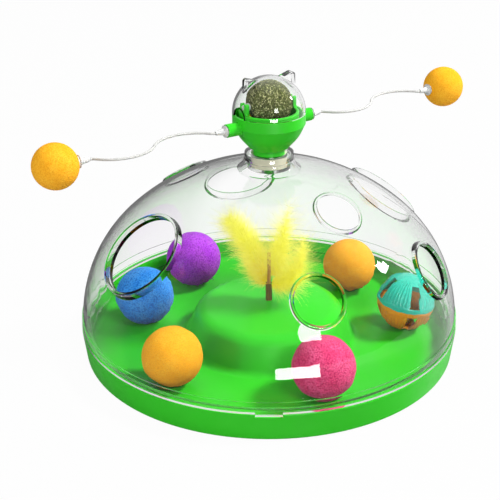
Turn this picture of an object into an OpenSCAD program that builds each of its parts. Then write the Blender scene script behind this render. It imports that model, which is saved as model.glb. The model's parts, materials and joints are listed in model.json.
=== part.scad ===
// Cat puzzle feeder: a round tray under a clear dome with paw holes. Loose balls and a feather
// lie in the tray, and a turret that spins in the dome's neck carries a catnip ball under a
// clear cover and two wire arms with a ball at each end.
// Millimetres, +Z up, origin on the table under the middle of the tray.

/* [Tray] */
// Outer radius of the tray at its foot
tray_foot_r = 130; // [120:0.5:145]
// Outer radius of the tray at its rim
tray_rim_r = 132.3; // [122:0.1:148]
// Height of the rim above the table
tray_h = 20; // [18:0.5:28]
// Thickness of the tray's side wall
tray_wall = 2.6; // [2:0.1:3.5]
// Thickness of the tray's floor
floor_t = 2.2; // [1.6:0.1:3]
// Gap between the floor's underside and the table
floor_lift = 1; // [0.8:0.1:2]
// Radius of the island at the floor
island_foot_r = 61; // [54:0.5:64]
// Radius of the island at its shoulder
island_top_r = 50.5; // [44:0.5:53]
// Height of the island's shoulder above the floor
island_edge_h = 23.5; // [18:0.5:26]
// Height of the island's middle above its shoulder
island_crown_h = 4; // [1:0.5:6]
// Number of anti-slip pads
pad_count = 4; // [3:1:8]
// Radius of an anti-slip pad
pad_r = 9; // [5:0.5:12]
// Depth of the pocket that holds a pad
pad_pocket = 0.8; // [0.4:0.1:1]
// Distance from a pad's edge to the tray's side
pad_inset = 12; // [8:0.5:20]

/* [Dome] */
// How far the clear wall stands in from the tray's rim
dome_inset = 1; // [0.6:0.1:2.5]
// Height of the crown above the dome's flange
dome_rise = 110.4; // [106:0.2:122]
// Radius of the dome's side, seen in profile
dome_side_r = 97; // [90:0.5:101]
// Wall thickness of the dome
dome_t = 2; // [1.6:0.1:2.6]
// Thickness of the flange that sits on the rim
flange_t = 2.2; // [1.6:0.1:3.5]
// Height of the thick band above the flange
band_h = 6; // [3:0.5:9]
// How far the thick band stands proud
band_t = 0.5; // [0.3:0.1:0.9]
// Depth of the skirt inside the tray
skirt_drop = 9; // [5:0.5:11]
// Thickness of the skirt
skirt_t = 2; // [1.4:0.1:2.6]
// Number of lugs that key the dome to the tray
lug_count = 4; // [3:1:8]
// Width of a lug
lug_w = 17; // [8:0.5:24]
// Depth of a lug below the flange
lug_d = 2; // [1:0.1:4]

/* [Paw holes] */
// Left front hole: azimuth, slope of its axis, radius
paw_left_front = [215, 47, 28.3]; // [10:0.5:340]
// Front hole: azimuth, slope of its axis, radius
paw_front = [286, 39.6, 15.7]; // [10:0.5:340]
// Right hole: azimuth, slope of its axis, radius
paw_right = [338, 33, 18.2]; // [10:0.5:340]
// Right rear hole: azimuth, slope of its axis, radius
paw_right_rear = [38, 41.3, 26.5]; // [10:0.5:340]
// Low rear hole: azimuth, slope of its axis, radius
paw_low_rear = [64, 16.9, 19]; // [10:0.5:340]
// Left rear hole: azimuth, slope of its axis, radius
paw_left_rear = [135.5, 54, 15.5]; // [10:0.5:340]
// Rear hole: azimuth, slope of its axis, radius
paw_rear = [102.3, 39, 26]; // [10:0.5:340]
// Height of a hole's collar above the dome's surface at the hole's middle
collar_h = 0.8; // [0.5:0.1:5]
// Wall thickness of a collar
collar_t = 2; // [1.4:0.1:3.5]
// How far a collar's foot spreads
collar_flare = 1; // [0.4:0.2:6]

/* [Neck] */
// Outer radius of the neck's lip
neck_r = 16.5; // [15.8:0.1:18]
// Height of the lip above the crown
neck_h = 9.5; // [8:0.5:12]
// Radius of the flare from crown to lip
neck_flare_r = 11; // [10.5:0.1:12]
// Depth of the upright edge of the lip
neck_lip = 1.8; // [1.2:0.1:3]
// Depth of the socket below the lip
socket_h = 11; // [9:0.5:13]
// Wall thickness of the socket
socket_t = 1.9; // [1.4:0.1:2.2]
// Thickness of the socket's floor
socket_floor_t = 2; // [1.4:0.1:2.6]
// Wall thickness of the neck bush
bush_t = 1.6; // [1:0.1:1.8]
// Thickness of the thrust washer
washer_t = 0.8; // [0.5:0.1:1.2]
// Radius of the cap under the socket
spindle_cap_r = 4.4; // [4:0.1:8]
// Height of the cap under the socket
spindle_cap_h = 5; // [4.5:0.5:8]

/* [Turret] */
// Azimuth of the arms
turret_az = 33; // [0:1:180]
// Radius of the plug in the neck
plug_r = 10.55; // [9.5:0.05:10.8]
// Radius of the spindle below the plug
spindle_r = 3.2; // [2.6:0.1:3.4]
// Height of the plug that shows above the lip
plug_show = 3.4; // [2:0.2:6]
// Radius of the cone's foot above the plug
cone_foot_r = 13; // [11.5:0.1:15]
// Height of the cup's cone
cone_h = 16.5; // [14:0.5:22]
// Outer radius of the cup's band
cup_r = 24.4; // [23.6:0.1:27]
// Height of the cup's band
cup_band_h = 7.5; // [7:0.5:10]
// Wall thickness of the cup
cup_t = 1.8; // [1.4:0.1:2.2]
// Outer radius of a side socket
side_r = 4.4; // [3.8:0.1:5]
// Distance from the axis to a side socket's mouth
side_reach = 33; // [31:0.5:38]
// Depth of a side socket's bore
side_bore_h = 7; // [5:0.5:8]
// Outer radius of the cradle's ring
cradle_r = 20; // [19.4:0.1:20.6]
// Wall thickness of the cradle's ring
cradle_t = 2.4; // [1.8:0.1:2.6]
// Height of the cradle's ring above the cup's rim
cradle_show = 1.4; // [0.5:0.1:2]
// Width of a cradle post
post_w = 7; // [5.6:0.2:9]

/* [Catnip ball and cover] */
// Radius of the catnip ball
catnip_r = 15.6; // [13:0.1:15.8]
// Height of the catnip ball's axle above the cup's rim
axle_h = 6.2; // [5:0.1:6.4]
// Radius of an axle pin
pin_r = 1.5; // [1.1:0.1:1.8]
// Radius of the shoulder on an axle pin
pin_shoulder_r = 2.4; // [2.2:0.1:3]
// Depth of an axle pin inside the ball
pin_depth = 7; // [4:0.5:10]
// Wall thickness of the clear cover
cover_t = 1.4; // [1:0.1:1.8]
// Radius of the arches in the cover's edge
cover_arch_r = 6.5; // [4:0.5:8]
// Depth of the lip that locates the cover in the cup
cover_lip_h = 1.6; // [1:0.1:2.5]
// Thickness of a cat ear
ear_t = 5.4; // [4:0.2:8]
// Height of an ear's tip above the cover
ear_h = 7.6; // [5:0.2:10]

/* [Arms] */
// Distance from the axis to a spinner ball
arm_reach = 151.5; // [120:0.5:180]
// Radius of a spinner ball
spinner_r = 14.4; // [10:0.1:18]
// Radius of the arm wire
wire_r = 0.85; // [0.6:0.05:1.1]
// Steepest angle of the wire's wave
wave_angle = 50; // [20:1:60]
// Radius of the bend at each end of the wave
wave_end_r = 4; // [3:0.5:8]
// Radius of the plug's and cap's flange
flange_r = 3.6; // [3.2:0.1:4.2]
// Thickness of that flange
arm_flange_t = 1.2; // [0.8:0.1:2]
// Length of the tapered nose on the plug and cap
nose_h = 7; // [4:0.5:10]
// Radius of the shank in its bore
shank_r = 2.4; // [1.9:0.1:2.8]
// Length of the wire inside the nose
wire_hold = 6; // [3:0.5:9]

/* [Feather] */
// Radius of the sleeve
sleeve_r = 2.2; // [1.8:0.1:3]
// Height of the sleeve above the island
sleeve_show = 13; // [8:0.5:20]
// Depth of the sleeve's socket in the island
sleeve_hold = 9; // [6:0.5:12]
// Radius of the stem
stem_r = 1.3; // [0.9:0.1:1.5]
// Height of the stem above the island
stem_show = 36; // [26:1:44]
// Height of the tallest plume above the island
plume_h = 80; // [60:1:82]
// Widest half breadth of a plume
plume_w = 9; // [5:0.5:10]
// Half thickness of a plume
plume_t = 4.4; // [2:0.2:5]

/* [Loose balls] */
// Radius of a plush ball
plush_r = 21; // [16:0.1:22]
// Radius of a foam ball
foam_r = 20.2; // [16:0.1:22]
// Radius of the bell ball
bell_ball_r = 20.8; // [17:0.1:22]
// Wall thickness of the bell ball
bell_ball_t = 1.6; // [1.2:0.1:2.2]
// Number of windows in each half of the bell ball
window_count = 4; // [3:1:5]
// Half angle of a window
window_half = 12.5; // [8:0.5:18]
// Number of ribs on each bar
rib_count = 8; // [3:1:9]
// Angle between neighbouring ribs
rib_pitch = 7.5; // [6:0.5:9]
// Width of a rib
rib_w = 1; // [0.5:0.1:1.2]
// Height of a rib
rib_h = 0.4; // [0.2:0.05:0.6]
// Lean of the bell ball
bell_lean = 9; // [0:1:20]
// Radius of the jingle bell
bell_r = 6.5; // [5:0.1:7.5]
// Wall thickness of the jingle bell
bell_t = 0.8; // [0.5:0.1:1.2]
// Radius of the pellet in the jingle bell
pellet_r = 2.2; // [1.5:0.1:3]
// Purple ball: azimuth, distance outside the lane's middle
place_purple = [126, 6.5]; // [-8:0.5:360]
// Blue ball: azimuth, distance outside the lane's middle
place_blue = [169, -1.5]; // [-8:0.5:360]
// Front foam ball: azimuth, distance outside the lane's middle
place_foam_front = [227, -0.5]; // [-8:0.5:360]
// Pink ball: azimuth, distance outside the lane's middle
place_pink = [293, -3.5]; // [-8:0.5:360]
// Rear foam ball: azimuth, distance outside the lane's middle
place_foam_rear = [49, 1]; // [-8:0.5:360]
// Bell ball: azimuth, distance outside the lane's middle
place_bell = [5, 5.5]; // [-8:0.5:360]

/* [Clearances] */
// Clearance between faces that rest on each other
seat_gap = 0.1; // [0.05:0.01:0.2]
// Radial clearance of a turning fit
run_gap = 0.08; // [0.03:0.01:0.1]
// Radial clearance of a fixed fit
fit_gap = 0.05; // [0.02:0.01:0.1]
// Side clearance of the skirt and the lugs
skirt_gap = 0.3; // [0.2:0.05:0.5]
// Gap under a loose ball
ball_gap = 0.3; // [0.1:0.05:0.5]

/* [Hidden] */
$fn = 96;
over = 1;

// Heights and radii of the tray
floor_z = floor_lift + floor_t;
island_edge_z = floor_z + island_edge_h;
island_top_z = island_edge_z + island_crown_h;
tray_lift = floor_lift / 2;
function tray_side_r(z) = tray_foot_r + (tray_rim_r - tray_foot_r) * z / tray_h;
foot_ring_w = 4;
foot_round = 1.2;
rim_round = 0.8;
rim_round_in = 0.5;
floor_fillet = 4;
island_fillet = 6;
island_round = 12;
pad_ring_r = tray_foot_r - pad_inset - pad_r;
boss_t = 2.4;
boss_r = sleeve_r + boss_t;
pad_first_az = 45;
lug_first_az = 270;
lug_angles = [for (i = [0:lug_count - 1]) lug_first_az + i * 360 / lug_count];

// Dome: a side arc that runs tangent into a crown arc
flange_z = tray_h + seat_gap;
dome_z = flange_z + flange_t;
dome_r = tray_rim_r - dome_inset;
crown_z = dome_z + dome_rise;
side_x = dome_r - dome_side_r;
crown_r = (dome_r * dome_r - 2 * dome_r * dome_side_r + dome_rise * dome_rise)
    / (2 * (dome_rise - dome_side_r));
crown_mid_z = crown_z - crown_r;
join_slope = atan2(dome_z - crown_mid_z, side_x);
skirt_z = flange_z - skirt_drop;
skirt_r = min(tray_side_r(skirt_z), tray_rim_r) - tray_wall - skirt_gap;
skirt_in_r = skirt_r - skirt_t;
collar_fillet = 0.8;
paw_holes = [
    paw_left_front, paw_front, paw_right, paw_right_rear, paw_low_rear, paw_left_rear, paw_rear
];

// Neck and spindle
lip_z = crown_z + neck_h;
neck_block = 8;
neck_void_drop = 5.5;
socket_r = plug_r + run_gap + bush_t + fit_gap;
socket_out_r = socket_r + socket_t;
socket_z = lip_z - socket_h;
socket_floor_z = socket_z + socket_floor_t;
bush_drop = 1.2;
washer_inset = 0.6;
washer_r = plug_r - washer_inset;
cap_top_z = socket_z - seat_gap;
cap_z = cap_top_z - spindle_cap_h;
spindle_hold = 2.6;
screw_r = 1.4;
screw_head_r = 2.4;
screw_head_h = 1.8;
screw_hold = 8;
screw_cross_w = 0.8;
screw_cross_inset = 1;
cap_taper = 0.8;
cap_round = 1.2;
cap_edge_round = 0.5;

// Turret
plug_z = socket_floor_z + seat_gap + washer_t;
cone_z = lip_z + plug_show;
cup_band_z = cone_z + cone_h;
cup_top_z = cup_band_z + cup_band_h;
cup_in_r = cup_r - cup_t;
band_step = 0.3;
cone_top_r = cup_r - band_step;
cone_t = 1.2 * cup_t;
cone_in_r = cone_top_r - cone_t;
cone_foot_round = 1.6;
belly_swell = 1.8;
belly_round = 26;
plug_round = 0.6;
plug_fillet = 0.8;
cup_edge_round = 0.4;
cup_floor_fillet = 1.5;
side_rise = 0.4;
side_z = cup_band_z + side_rise;
cradle_in_r = cradle_r - cradle_t;
cradle_foot_t = 1.4;
cradle_round = 0.9;
cradle_top_z = cup_top_z + cradle_show;
axle_z = cup_top_z + axle_h;
post_rise = 1;
post_top_z = axle_z + pin_r + post_rise;
post_spread = 5;
post_round = 1;

// Axle pins and cover
ball_flat_u = sqrt(catnip_r * catnip_r - pow(pin_shoulder_r + fit_gap, 2));
pin_inset = 0.3;
pin_end_u = cradle_r - pin_inset;
shoulder_end_u = sqrt(cradle_in_r * cradle_in_r - pin_shoulder_r * pin_shoulder_r) - seat_gap;
cover_z = cup_top_z + seat_gap;
cover_in_r = cup_r - cover_t;
cover_lip_r = cup_in_r - seat_gap;
cover_lip_t = 1.2;
ear_slope = 54;
ear_half = 19;
ear_wall = 1.3;
ear_front_wall = 1.6;
ear_tip_round = 2;
ear_tip_half = atan2(cover_in_r * sin(ear_half), cup_r + ear_h - cover_in_r * cos(ear_half));

// Arms: the wave's middle bends follow from the length left for them
arm_flat_u = sqrt(spinner_r * spinner_r - pow(flange_r + fit_gap, 2));
plug_tip_u = side_reach + arm_flange_t + nose_h;
cap_tip_u = arm_reach - arm_flat_u - arm_flange_t - nose_h;
nose_tip_t = 0.5;
nose_tip_r = wire_r + nose_tip_t;
nose_root_fillet = 2;
edge_round = 0.3;
wave_mid_r = (cap_tip_u - plug_tip_u
    - 2 * wave_end_r * (sin(wave_angle) + tan(wave_angle / 2) * cos(wave_angle)))
    / (4 * sin(wave_angle));
wire_steps = [
    [wire_hold, 0],
    [wave_end_r, -wave_angle],
    [wave_mid_r, 2 * wave_angle],
    [2 * wave_end_r * tan(wave_angle / 2), 0],
    [wave_mid_r, -2 * wave_angle],
    [wave_end_r, wave_angle],
    [wire_hold, 0]
];

wire_facet = 12.5;
wire_sides = 10;
plume_tip = 0.06;

// How far each plume leans aside at its bend and at its tip, and how far its foot stands off
// the sleeve
plume_left_bend = 9;
plume_left_tip = 33;
plume_left_rise = 2;
plume_right_bend = 9;
plume_right_tip = 15;
plume_right_rise = 6;
plume_front_bend = 22;
plume_front_tip = 24;
plume_rear_bend = 16;
plume_rear_tip = 14;
plume_low_rise = 1;

// Loose balls
lane_out_r = min(tray_side_r(floor_z) - tray_wall, skirt_in_r);
lane_r = (island_foot_r + lane_out_r) / 2;
window_low = 9.5;
window_high = 57;
rib_low = window_low - 1;
rib_high = 66;
rib_root = 0.3;
bell_slot_l = 1.2 * bell_r;
window_turn = -79;
bell_drop = bell_ball_r - bell_ball_t - ball_gap - bell_r;
bell_slot_w = 1.4;

// Colours
green = [0.25, 0.82, 0.2];
dark_green = [0.1, 0.4, 0.12];
clear = [0.85, 0.92, 0.9, 0.35];
white = [0.95, 0.95, 0.95];
orange = [1, 0.68, 0.15];
yellow = [0.96, 0.92, 0.2];

function unit(v) = v / norm(v);

// Arc of radius r that rounds the corner b between a and c
function corner(a, b, c, r, n) =
    r <= 0 ? [b] :
    let (
        u = unit(a - b),
        w = unit(c - b),
        half = acos(u * w) / 2,
        mid = b + unit(u + w) * r / sin(half),
        from = b + u * r / tan(half) - mid,
        to = b + w * r / tan(half) - mid,
        start = atan2(from.y, from.x),
        raw = atan2(to.y, to.x) - start,
        turn = raw > 180 ? raw - 360 : raw < -180 ? raw + 360 : raw
    )
    [for (i = [0:n]) mid + r * [cos(start + turn * i / n), sin(start + turn * i / n)]];

// Closed outline from corners given as [x, y, radius]
function rounded(spec, n = 6) =
    let (k = len(spec), p = [for (s = spec) [s.x, s.y]])
    [for (i = [0:k - 1]) each corner(p[(i + k - 1) % k], p[i], p[(i + 1) % k], spec[i].z, n)];

module turned(spec, n = 6) {
    rotate_extrude() polygon(rounded(spec, n));
}

module tube(r_out, r_in, z0, z1) {
    translate([0, 0, z0]) difference() {
        cylinder(r = r_out, h = z1 - z0);
        translate([0, 0, -over]) cylinder(r = r_in, h = z1 - z0 + 2 * over);
    }
}

// Turns children so that their Z axis points outwards along an arm at the given height
module along_arm(az, z) {
    rotate(az) translate([0, 0, z]) rotate([0, 90, 0]) children();
}

// Tray

module tray_solid() {
    slope = atan2(island_edge_h, island_foot_r - island_top_r);
    inset = floor_t * tan(slope / 2);
    foot_in_r = tray_foot_r - foot_ring_w;
    turned([
        [0, island_top_z - floor_t, 0],
        [island_top_r - inset, island_edge_z - floor_t, island_round - floor_t],
        [island_foot_r - inset, floor_lift, island_fillet + floor_t],
        [foot_in_r, floor_lift, 0],
        [foot_in_r, tray_lift, 0],
        [tray_side_r(tray_lift), tray_lift, foot_round],
        [tray_rim_r, tray_h, rim_round],
        [tray_rim_r - tray_wall, tray_h, rim_round_in],
        [tray_side_r(floor_z) - tray_wall, floor_z, floor_fillet],
        [island_foot_r, floor_z, island_fillet],
        [island_top_r, island_edge_z, island_round],
        [0, island_top_z, 0]
    ], 8);
    translate([0, 0, island_top_z - sleeve_hold - floor_t])
        cylinder(r = boss_r, h = sleeve_hold + floor_t / 2);
}

module base_tray() {
    color(green) difference() {
        tray_solid();
        translate([0, 0, island_top_z - sleeve_hold])
            cylinder(r = sleeve_r + run_gap, h = sleeve_hold + over);
        for (a = lug_angles) rotate(a)
            translate([skirt_r - over, -lug_w / 2 - skirt_gap, tray_h - lug_d - skirt_gap])
                cube([tray_rim_r - skirt_r + 2 * over, lug_w + 2 * skirt_gap, lug_d + skirt_gap + over]);
        pads(over, fit_gap);
    }
}

// Pads that reach below the tray by drop and are wider by spare
module pads(drop, spare) {
    for (i = [0:pad_count - 1]) rotate(pad_first_az + i * 360 / pad_count)
        translate([pad_ring_r, 0, -drop])
            cylinder(r = pad_r + spare, h = floor_lift + pad_pocket + drop);
}

module anti_slip_pads() {
    color([0.2, 0.2, 0.2]) pads(0, 0);
}

// Feather

module feather_sleeve() {
    foot_z = island_top_z - sleeve_hold + seat_gap;
    color([0.36, 0.3, 0.1]) tube(sleeve_r, stem_r + fit_gap, foot_z, island_top_z + sleeve_show);
}

module feather_stem() {
    color([0.6, 0.4, 0.15]) translate([0, 0, island_top_z + fit_gap])
        cylinder(r = stem_r, h = stem_show);
}

// Point, and direction, at t on the curve through the ends a and c that leans to b
function bend(a, b, c, t) = (1 - t) * (1 - t) * a + 2 * t * (1 - t) * b + t * t * c;
function bend_dir(a, b, c, t) = unit((1 - t) * (b - a) + t * (c - b));

// Solid skin over a row of rings with the same number of points
module loft(rings) {
    sides = len(rings[0]);
    last = len(rings) - 1;
    function at(i, k) = i * sides + k % sides;
    faces = [
        [for (k = [0:sides - 1]) at(0, k)],
        for (i = [0:last - 1], k = [0:sides - 1]) each [
            [at(i, k), at(i + 1, k), at(i, k + 1)],
            [at(i, k + 1), at(i + 1, k), at(i + 1, k + 1)]
        ],
        [for (k = [sides - 1:-1:0]) at(last, k)]
    ];
    polyhedron([for (ring = rings) each ring], faces);
}

// Leaf-shaped solid along a bent quill, broadest past its middle
module plume(a, b, c, w, t, steps = 10, sides = 10) {
    color(yellow) loft([for (i = [0:steps]) let (
        s = i / steps,
        d = bend_dir(a, b, c, s),
        side = unit(cross(d, [0, 1, 0])),
        out = cross(side, d),
        swell = plume_tip + (1 - plume_tip) * sin(180 * pow(s, 1.5))
    ) [for (k = [0:sides - 1])
        let (turn = 360 * k / sides)
        bend(a, b, c, s) + swell * (side * w * cos(turn) + out * t * sin(turn))
    ]]);
}

// Foot of a plume beside the stem, at a height above the sleeve
function plume_foot(az, rise) =
    let (r = stem_r + ball_gap + plume_tip * plume_w)
    [r * cos(az), r * sin(az), island_top_z + sleeve_show + rise];

// Point of a plume, with its height as a share of the tallest plume's
function plume_at(x, y, share) = [x, y, island_top_z + share * plume_h];

module plume_left() {
    plume(plume_foot(180, plume_left_rise), plume_at(-plume_left_bend, 0, 0.5),
        plume_at(-plume_left_tip, 0, 0.86), plume_w, plume_t);
}

module plume_right() {
    plume(plume_foot(0, plume_right_rise), plume_at(plume_right_bend, 0, 0.5),
        plume_at(plume_right_tip, 0, 1), plume_w * 0.85, plume_t);
}

module plume_front() {
    y = -2 * plume_t;
    plume(plume_foot(270, plume_low_rise), plume_at(plume_front_bend, y, 0.15),
        plume_at(plume_front_tip, 1.3 * y, 0.7), plume_w, plume_t);
}

module plume_rear() {
    y = 2 * plume_t;
    plume(plume_foot(90, plume_low_rise), plume_at(-plume_rear_bend, y, 0.15),
        plume_at(-plume_rear_tip, 1.3 * y, 0.6), plume_w * 0.8, plume_t);
}

// Dome

// Half profile of the domed form, drawn in by inset
module dome_half(inset) {
    join_z = crown_mid_z + (crown_r - inset) * sin(join_slope);
    translate([0, dome_z]) square([side_x, join_z - dome_z]);
    intersection() {
        translate([side_x, dome_z]) circle(dome_side_r - inset);
        translate([0, dome_z]) square([dome_r, join_z - dome_z]);
    }
    intersection() {
        translate([0, crown_mid_z]) circle(crown_r - inset);
        translate([0, join_z]) square([dome_r, dome_rise]);
    }
}

// Half profile of the flared neck, drawn in by inset, up to a given height
module neck_half(inset, top_z) {
    foot_z = crown_z - neck_block;
    bend_z = lip_z - neck_lip;
    bend_x = neck_r + neck_flare_r;
    difference() {
        translate([0, foot_z]) square([bend_x, top_z - foot_z]);
        translate([bend_x, bend_z]) circle(neck_flare_r + inset);
        translate([neck_r - inset, bend_z]) square([neck_flare_r + inset + over, neck_lip + over]);
    }
}

// Places children on the dome's surface, Z outwards, for a hole [azimuth, slope, radius]
module at_hole(hole) {
    slope = hole.y;
    on_side = slope < join_slope;
    x = on_side ? side_x + dome_side_r * cos(slope) : crown_r * cos(slope);
    z = on_side ? dome_z + dome_side_r * sin(slope) : crown_mid_z + crown_r * sin(slope);
    rotate(hole.x) translate([x, 0, z]) rotate([0, 90 - slope, 0]) children();
}

module collar(r) {
    foot_r = r + collar_t + collar_flare;
    sink = foot_r * foot_r / (2 * dome_side_r) + dome_t / 2;
    turned([
        [r - over, -sink, 0],
        [foot_r, -sink, 0],
        [r + collar_t, collar_h / 3, collar_fillet],
        [r + collar_t, collar_h, collar_t / 3],
        [r - over, collar_h, 0]
    ], 4);
}

module dome_outside() {
    rotate_extrude() dome_half(0);
    rotate_extrude() neck_half(0, lip_z);
    translate([0, 0, dome_z]) cylinder(r = dome_r + band_t, h = band_h);
    translate([0, 0, flange_z]) cylinder(r = tray_rim_r, h = flange_t);
    translate([0, 0, skirt_z]) cylinder(r = skirt_r, h = skirt_drop);
    for (a = lug_angles) rotate(a)
        translate([skirt_r - over, -lug_w / 2, flange_z - lug_d])
            cube([tray_rim_r - dome_inset - skirt_r + over, lug_w, lug_d + over]);
    for (hole = paw_holes) at_hole(hole) collar(hole.z);
}

module dome_inside() {
    difference() {
        union() {
            rotate_extrude() dome_half(dome_t);
            rotate_extrude() neck_half(dome_t, lip_z - neck_void_drop);
            translate([0, 0, skirt_z - over])
                cylinder(r = skirt_in_r, h = dome_z - skirt_z + 2 * over);
        }
        translate([0, 0, socket_z]) cylinder(r = socket_out_r, h = socket_h);
    }
}

module dome_shell() {
    color(clear) difference() {
        dome_outside();
        dome_inside();
        translate([0, 0, socket_floor_z]) cylinder(r = socket_r, h = socket_h);
        translate([0, 0, socket_z - over]) cylinder(r = spindle_r + run_gap, h = socket_h);
        for (hole = paw_holes) at_hole(hole)
            translate([0, 0, -hole.z]) cylinder(r = hole.z, h = hole.z + collar_h + over);
    }
}

module neck_bush() {
    color([0.86, 0.82, 0.66])
        tube(socket_r - fit_gap, plug_r + run_gap, socket_floor_z, lip_z - bush_drop);
}

// Turret

module side_sockets(r, from, to) {
    for (az = [turret_az, turret_az + 180]) along_arm(az, side_z)
        translate([0, 0, from]) cylinder(r = r, h = to - from);
}

module turret_cup() {
    belly_r = (cone_foot_r + cone_top_r) / 2 + belly_swell;
    belly_z = cone_z + cone_h / 2;
    color(green) difference() {
        union() {
            turned([
                [0, plug_z, 0],
                [plug_r, plug_z, plug_round],
                [plug_r, cone_z, plug_fillet],
                [cone_foot_r, cone_z, cone_foot_round],
                [belly_r, belly_z, belly_round],
                [cone_top_r, cup_band_z, 0],
                [cup_r, cup_band_z, cup_edge_round],
                [cup_r, cup_top_z, cup_edge_round],
                [0, cup_top_z, 0]
            ]);
            translate([0, 0, cap_top_z - spindle_hold])
                cylinder(r = spindle_r, h = plug_z - cap_top_z + 2 * spindle_hold);
            side_sockets(side_r, cup_in_r - over, side_reach);
        }
        turned([
            [0, cone_z + 2 * cup_t, 0],
            [plug_r - cup_t, cone_z + 2 * cup_t, cup_floor_fillet],
            [belly_r - cone_t, belly_z + cup_t, belly_round - cone_t],
            [cone_in_r, cup_band_z, 0],
            [cup_in_r, cup_band_z, 0],
            [cup_in_r, cup_top_z + over, 0],
            [0, cup_top_z + over, 0]
        ]);
        side_sockets(shank_r + fit_gap, side_reach - side_bore_h, side_reach + over);
        translate([0, 0, cap_top_z - spindle_hold - over])
            cylinder(r = screw_r, h = screw_hold);
    }
}

// Edge of a cradle post, seen along the axle: it sweeps down to the ring on both sides
module post_outline() {
    ring_z = cradle_top_z - over;
    polygon(rounded([
        [-post_w / 2 - post_spread, ring_z, 0],
        [-post_w / 2, ring_z + over, post_spread / 2],
        [-post_w / 2, post_top_z, post_round],
        [post_w / 2, post_top_z, post_round],
        [post_w / 2, ring_z + over, post_spread / 2],
        [post_w / 2 + post_spread, ring_z, 0]
    ]));
}

module ball_cradle() {
    slot_r = pin_r + run_gap;
    color(green) difference() {
        union() {
            tube(cup_in_r - fit_gap, cradle_in_r, cup_band_z, cup_band_z + cradle_foot_t);
            turned([
                [cradle_in_r, cup_band_z, 0],
                [cradle_r, cup_band_z, 0],
                [cradle_r, cradle_top_z, cradle_round],
                [cradle_in_r, cradle_top_z, cradle_round]
            ]);
            intersection() {
                tube(cradle_r, cradle_in_r, cup_band_z, post_top_z + over);
                rotate(turret_az + 90) rotate([90, 0, 0])
                    linear_extrude(height = 2 * cup_r, center = true) post_outline();
            }
        }
        along_arm(turret_az, axle_z) cylinder(r = slot_r, h = 2 * cup_r, center = true);
        rotate(turret_az) translate([-cup_r, -slot_r, axle_z]) cube([2 * cup_r, 2 * slot_r, cup_r]);
    }
}

module thrust_washer() {
    color(white) tube(washer_r, spindle_r + fit_gap, plug_z - washer_t, plug_z);
}

module spindle_cap() {
    color(dark_green) difference() {
        turned([
            [0, cap_z, 0],
            [spindle_cap_r - cap_taper, cap_z, cap_round],
            [spindle_cap_r, cap_top_z, cap_edge_round],
            [0, cap_top_z, 0]
        ]);
        translate([0, 0, cap_top_z - spindle_hold])
            cylinder(r = spindle_r + fit_gap, h = spindle_hold + over);
        translate([0, 0, cap_z - over]) cylinder(r = screw_r + fit_gap, h = spindle_cap_h);
        translate([0, 0, cap_z - over])
            cylinder(r = screw_head_r + fit_gap, h = screw_head_h + over);
    }
}

module spindle_screw() {
    color([0.75, 0.76, 0.78]) difference() {
        union() {
            translate([0, 0, cap_z]) cylinder(r = screw_head_r, h = screw_head_h);
            translate([0, 0, cap_z]) cylinder(r = screw_r - fit_gap, h = screw_hold);
        }
        for (a = [0, 90]) rotate(a) translate([0, 0, cap_z])
            cube([2 * (screw_head_r - screw_cross_inset), screw_cross_w, screw_head_h], center = true);
    }
}

// Arms

// Flange, shank and tapered nose, with the nose's tip at the origin and the shank up the Z axis
module flared_plug(shank_h) {
    difference() {
        turned([
            [0, 0, 0],
            [nose_tip_r, 0, edge_round],
            [shank_r, nose_h, nose_root_fillet],
            [flange_r, nose_h, edge_round],
            [flange_r, nose_h + arm_flange_t, 0],
            [shank_r, nose_h + arm_flange_t, 0],
            [shank_r, nose_h + arm_flange_t + shank_h, edge_round],
            [0, nose_h + arm_flange_t + shank_h, 0]
        ], 4);
        translate([0, 0, -over]) cylinder(r = wire_r + fit_gap, h = wire_hold + fit_gap + over);
    }
}

module arm_plug(az) {
    color(white) along_arm(az, side_z) translate([0, 0, plug_tip_u]) mirror([0, 0, 1])
        flared_plug(side_bore_h - fit_gap);
}

module ball_cap(az) {
    color(white) along_arm(az, side_z) translate([0, 0, cap_tip_u])
        flared_plug(side_bore_h - fit_gap);
}

// Place and heading [x, y, angle] after a share f of a step that starts at p
function wire_end(p, step, f) =
    step[1] == 0 ? p + step[0] * f * [cos(p.z), sin(p.z), 0] :
    let (r = sign(step[1]) * step[0], a = p.z + step[1] * f)
    [p.x + r * (sin(a) - sin(p.z)), p.y - r * (cos(a) - cos(p.z)), a];

// Places along a wire made of straights [length, 0] and bends [radius, turn], one after another
function wire_route(steps, i = 0, p = [0, 0, 0]) =
    i == len(steps) ? [p] :
    let (parts = max(1, ceil(abs(steps[i][1]) / wire_facet)))
    concat(
        [for (k = [0:parts - 1]) wire_end(p, steps[i], k / parts)],
        wire_route(steps, i + 1, wire_end(p, steps[i], 1))
    );

module arm_wire(az) {
    color(white) rotate(az) translate([plug_tip_u - wire_hold, 0, side_z])
        loft([for (q = wire_route(wire_steps)) [for (k = [0:wire_sides - 1])
            let (a = 360 * k / wire_sides, across = wire_r * cos(a))
            [q.x - across * sin(q.z), q.y + across * cos(q.z), -wire_r * sin(a)]
        ]]);
}

module spinner_ball(az) {
    color(orange) along_arm(az, side_z) translate([0, 0, arm_reach]) difference() {
        sphere(r = spinner_r);
        translate([0, 0, -arm_flat_u - spinner_r]) cylinder(r = spinner_r, h = spinner_r);
        translate([0, 0, -arm_flat_u - over])
            cylinder(r = shank_r + fit_gap, h = side_bore_h + over);
    }
}

module arm_plug_left() { arm_plug(turret_az + 180); }
module arm_plug_right() { arm_plug(turret_az); }
module arm_wire_left() { arm_wire(turret_az + 180); }
module arm_wire_right() { arm_wire(turret_az); }
module ball_cap_left() { ball_cap(turret_az + 180); }
module ball_cap_right() { ball_cap(turret_az); }
module spinner_ball_left() { spinner_ball(turret_az + 180); }
module spinner_ball_right() { spinner_ball(turret_az); }

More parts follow.
